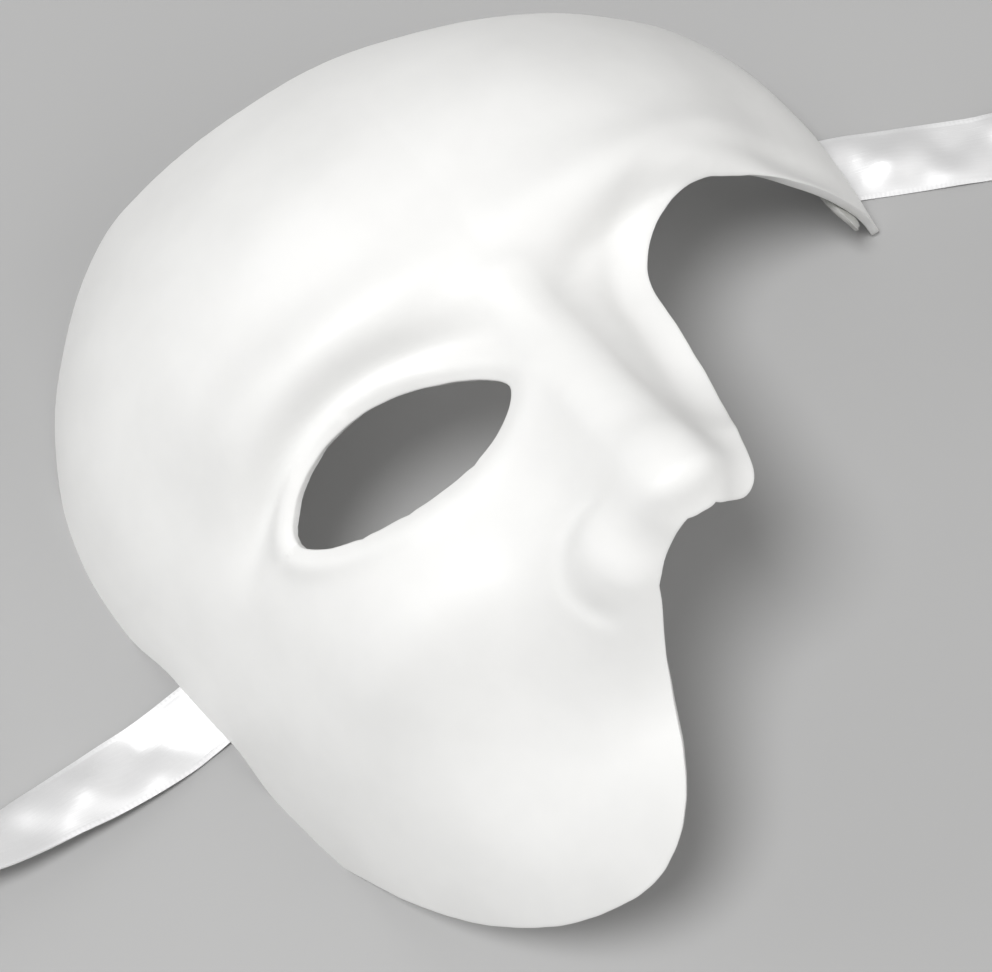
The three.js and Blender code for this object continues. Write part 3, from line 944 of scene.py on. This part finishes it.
def glue_dab(name, node, pad, sizes, material):
    """A squeezed dab of glue that follows the inner wall, flat towards it and lumpy away from it."""
    s, y, wide, tall, squeezed = pad
    bpy.ops.object.select_all(action="DESELECT")
    bpy.ops.mesh.primitive_uv_sphere_add(segments=64, ring_count=32, radius=1)
    piece = bpy.context.object
    ball = mesh_points(piece.data)
    uneven = lumps(ball, LUMPS["scale"]) + LUMPS["share"] * lumps(ball, LUMPS["fine"])
    aside = np.angle(np.exp(1j * (np.arctan2(ball[:, 1], ball[:, 0]) - squeezed)))
    spread = 1 + DAB["uneven"] * uneven * np.hypot(ball[:, 0], ball[:, 1])
    spread += DAB["tongue"] * np.exp(-((aside / DAB["spread"]) ** 2))
    full = np.sign(ball[:, 2]) * np.abs(ball[:, 2]) ** DAB["full"]
    deep = np.where(ball[:, 2] > 0, DAB["thick"] + DAB["lumps"] * uneven, DAB["rim"])
    depth = sizes.wall / MM + DAB["gap"] + deep * full
    flat_s = s - wide * ball[:, 0] * spread
    flat_y = y + tall * ball[:, 1] * spread
    points = sheet_point(flat_s, flat_y, -depth, None, sizes)
    set_mesh_points(piece.data, (points + PLACE) * MM)
    finish_piece(piece, name, material, [node])


class HALFMASK_OT_stage(bpy.types.Operator):
    """Sets up the camera at the photograph's angle, the soft lights and the plain floor."""

    bl_idname = "half_mask.stage"
    bl_label = "Camera, Lights and Floor"

    def execute(self, context):
        stage = context.scene.half_mask_stage
        back = Vector((
            math.sin(stage.azimuth) * math.cos(stage.elevation),
            -math.cos(stage.azimuth) * math.cos(stage.elevation),
            math.sin(stage.elevation),
        ))
        brow = Vector((*(PLACE[:2] * MM), BROW_HEIGHT))
        data = bpy.data.cameras.new("camera")
        data.sensor_width = 36
        data.lens = stage.lens
        data.clip_start = 0.01
        camera = bpy.data.objects.new("camera", data)
        context.scene.collection.objects.link(camera)
        camera.rotation_mode = "QUATERNION"
        camera.location = brow + back * stage.distance
        aim = (-back).to_track_quat("-Z", "Y")
        camera.rotation_quaternion = aim @ Euler((-stage.tilt, stage.pan, 0)).to_quaternion()
        context.scene.camera = camera

        bpy.ops.object.select_all(action="DESELECT")
        bpy.ops.mesh.primitive_grid_add(x_subdivisions=8, y_subdivisions=8, size=FLOOR_SIZE)
        floor = context.object
        floor.name = "floor"
        floor.data.materials.append(floor_material(stage))

        for name, place, size, share, tint in LIGHTS:
            light = bpy.data.lights.new(name, "AREA")
            light.shape = "DISK"
            light.size = size
            light.energy = stage.light * share
            light.color = tint
            lamp = bpy.data.objects.new(name, light)
            lamp.location = place
            lamp.rotation_mode = "QUATERNION"
            lamp.rotation_quaternion = (brow - Vector(place)).to_track_quat("-Z", "Y")
            context.scene.collection.objects.link(lamp)

        world = bpy.data.worlds.new("studio")
        world.use_nodes = True
        for key, value in SKY.items():
            world.node_tree.nodes["Background"].inputs[key].default_value = value
        context.scene.world = world
        context.scene.view_settings.view_transform = "Standard"
        return {"FINISHED"}


class HALFMASK_OT_ribbons(bpy.types.Operator):
    """Lays the two satin ribbons from the mask's temples out along the table, and coils their loose ends."""

    bl_idname = "half_mask.ribbons"
    bl_label = "Satin Ribbons"

    def execute(self, context):
        settings = context.scene.half_mask_ribbon
        material = satin_material(context.scene.half_mask_finish, settings)
        for name, node, route, coil, side, leave in RIBBONS:
            nodes = (node + "_run", node + "_coil")
            piece, path = ribbon(name, nodes, route, coil, side, settings, material)
        return {"FINISHED"}


class HALFMASK_OT_shell(bpy.types.Operator):
    """Cuts the flat sheet, gives it its thickness, eases its edge and bends it over the head form."""

    bl_idname = "half_mask.shell"
    bl_label = "Moulded Shell"

    def execute(self, context):
        sizes = context.scene.half_mask_sizes
        wobble = sizes.wobble / MM
        outline = evenly(rounded_loop(TRIM), TRIM_STEP)
        hole = eye_loop()
        edges = (lip_line(outline), hole)
        outline = cut_by_hand(outline, wobble)
        hole = cut_by_hand(hole, EYE_WOBBLE * wobble)
        shell = cut_blank(outline, hole, sizes.cell / MM)
        apply_modifier(shell, "SOLIDIFY", thickness=sizes.wall, offset=-1)
        apply_modifier(
            shell, "BEVEL", width=sizes.edge_round, segments=2, limit_method="ANGLE", angle_limit=SHARP
        )
        flat = mesh_points(shell.data) / MM
        off = distance_to_cut(flat[:, :2], outline, hole)
        # Marks the cut edge, where the plastic is rougher and saw-marked, and its colour greyer with painted
        # shade
        cut = shell.data.attributes.new("cut", "FLOAT", "POINT")
        cut.data.foreach_set("value", np.clip(1 - off / EDGE_SHADE_AND_ROUGHNESS, 0, 1).astype(np.float32))
        set_mesh_points(shell.data, sheet_point(*flat.T, edges, sizes) * MM)
        only(shell)
        bpy.ops.object.mode_set(mode="EDIT")
        bpy.ops.mesh.select_all(action="SELECT")
        bpy.ops.mesh.bisect(
            plane_co=(0, 0, 0), plane_no=(0, 0, 1), use_fill=True, clear_inner=True, threshold=ON_TABLE * MM
        )
        bpy.ops.mesh.select_all(action="SELECT")
        bpy.ops.mesh.dissolve_degenerate(threshold=TINY * sizes.edge_round)
        bpy.ops.mesh.delete_loose()
        bpy.ops.mesh.select_all(action="SELECT")
        bpy.ops.mesh.quads_convert_to_tris(quad_method="BEAUTY", ngon_method="BEAUTY")
        bpy.ops.object.mode_set(mode="OBJECT")
        points = mesh_points(shell.data) / MM
        points[np.abs(points[:, 2]) <= ON_TABLE, 2] = 0
        set_mesh_points(shell.data, (lift_over_ribbon(points) + PLACE) * MM)
        material = plastic_material(context.scene.half_mask_finish)
        finish_piece(shell, "moulded_shell", material, ["mask_shell"])
        return {"FINISHED"}


class HALFMASK_OT_glue(bpy.types.Operator):
    """Puts the dabs of hot-melt glue that hold the ribbons inside the sheet."""

    bl_idname = "half_mask.glue"
    bl_label = "Glue Dabs"

    def execute(self, context):
        sizes = context.scene.half_mask_sizes
        material = glue_material(context.scene.half_mask_finish)
        for name, node, pad in GLUE:
            glue_dab(name, node, pad, sizes, material)
        return {"FINISHED"}


class HALFMASK_PT_panel(bpy.types.Panel):
    """Sidebar panel with the mask's sizes and its building steps."""

    bl_idname = "HALFMASK_PT_panel"
    bl_label = "Half Mask"
    bl_space_type = "VIEW_3D"
    bl_region_type = "UI"
    bl_category = "Half Mask"

    def draw(self, context):
        for name in GROUPS:
            group = getattr(context.scene, name)
            box = self.layout.box()
            for key in group.bl_rna.properties.keys():
                if key not in ("rna_type", "name"):
                    box.prop(group, key)
        for operator in OPERATORS:
            self.layout.operator(operator.bl_idname)


GROUPS = {
    "half_mask_sizes": MaskSizes,
    "half_mask_ribbon": RibbonSizes,
    "half_mask_finish": MaskFinish,
    "half_mask_stage": MaskStage,
}
OPERATORS = (HALFMASK_OT_stage, HALFMASK_OT_ribbons, HALFMASK_OT_shell, HALFMASK_OT_glue)


def register():
    """Adds the classes, and the groups of sizes to each scene."""
    for cls in (*GROUPS.values(), *OPERATORS, HALFMASK_PT_panel):
        bpy.utils.register_class(cls)
    for name, group in GROUPS.items():
        setattr(bpy.types.Scene, name, bpy.props.PointerProperty(type=group))


def unregister():
    """Takes the groups and the classes away again."""
    for name in GROUPS:
        delattr(bpy.types.Scene, name)
    for cls in (HALFMASK_PT_panel, *reversed(OPERATORS), *reversed(GROUPS.values())):
        bpy.utils.unregister_class(cls)


def main():
    """Builds the stage and the pieces."""
    register()
    bpy.ops.half_mask.stage()
    bpy.ops.half_mask.ribbons()
    bpy.ops.half_mask.shell()
    bpy.ops.half_mask.glue()


if __name__ == "__main__":
    main()
